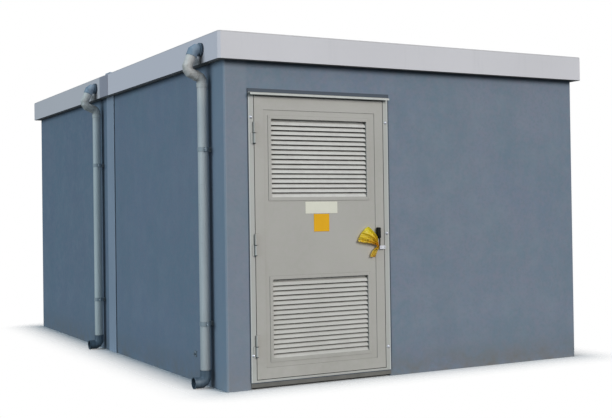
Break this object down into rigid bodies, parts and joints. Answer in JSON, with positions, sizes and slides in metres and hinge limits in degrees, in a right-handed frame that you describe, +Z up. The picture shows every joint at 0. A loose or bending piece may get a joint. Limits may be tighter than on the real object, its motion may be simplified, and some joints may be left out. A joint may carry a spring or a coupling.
{
  "type": "compact substation",
  "caption": "Walk-in compact substation of concrete modules with a flat roof lid, a louvred steel door that opens, and rainwater downpipes down one side.",
  "frame": {"origin": "centre of the building's footprint at ground level, on the line where the two modules meet", "axes": "+X to the right along the front with the door, +Y to the back, +Z up"},
  "size_m": [3.573, 5.36, 2.615],
  "materials": {
    "render": "painted fine render, matt",
    "concrete": "trowelled concrete, matt",
    "fascia_paint": "smooth painted concrete, matt",
    "joint_sheet": "painted folded sheet, satin",
    "door_paint": "grey-beige coating, satin",
    "cap_paint": "pale coating, satin",
    "cream_plastic": "blank plate, matt",
    "yellow_enamel": "blank plate, satin",
    "black_plastic": "moulded, matt",
    "zinc": "zinc plated",
    "yellow_film": "soft plastic film",
    "grey_pipe": "grey rainwater pipe, weathered",
    "dark_pipe": "dark blue-grey fitting, weathered"
  },
  "bodies": {
    "building": {"back_wall": "render", "door_frame": "door_paint", "downpipes": "grey_pipe", "drip_cap": "cap_paint", "earth_terminal": "zinc", "far_floor": "concrete", "far_left_wall": "render", "far_right_wall": "render", "far_roof": "fascia_paint", "frame_hinges": "door_paint", "front_wall_left": "render", "front_wall_over_door": "render", "front_wall_right": "render", "left_fascia_strip": "joint_sheet", "left_wall_strip": "joint_sheet", "near_floor": "concrete", "near_left_wall": "render", "near_right_wall": "render", "near_roof": "fascia_paint", "offset_bends": "grey_pipe", "outlet_elbows": "dark_pipe", "pipe_clamps": "grey_pipe", "rain_shoes": "dark_pipe", "right_fascia_strip": "joint_sheet", "right_wall_strip": "joint_sheet", "roof_joint_cap": "joint_sheet", "threshold": "concrete"},
    "door": {"door_leaf": "door_paint", "upper_louvre_frame": "door_paint", "upper_louvre_slats": "door_paint", "lower_louvre_frame": "door_paint", "lower_louvre_slats": "door_paint", "leaf_hinges": "door_paint", "cream_plate": "cream_plastic", "yellow_plate": "yellow_enamel", "lock_block": "black_plastic", "hasp": "zinc", "yellow_tag": "yellow_film"},
    "handle": {"handle_lever": "black_plastic"}
  },
  "joints": [
    {"name": "door_hinge", "type": "hinge", "parent": "building", "child": "door", "pos_m": [-1.4105, -2.631, 1.05], "axis": [0, 0, -1], "range_deg": [0, 110]},
    {"name": "handle_turn", "type": "hinge", "parent": "door", "child": "handle", "pos_m": [-0.359, -2.645, 1.089], "axis": [0, -1, 0], "range_deg": [0, 90]}
  ]
}
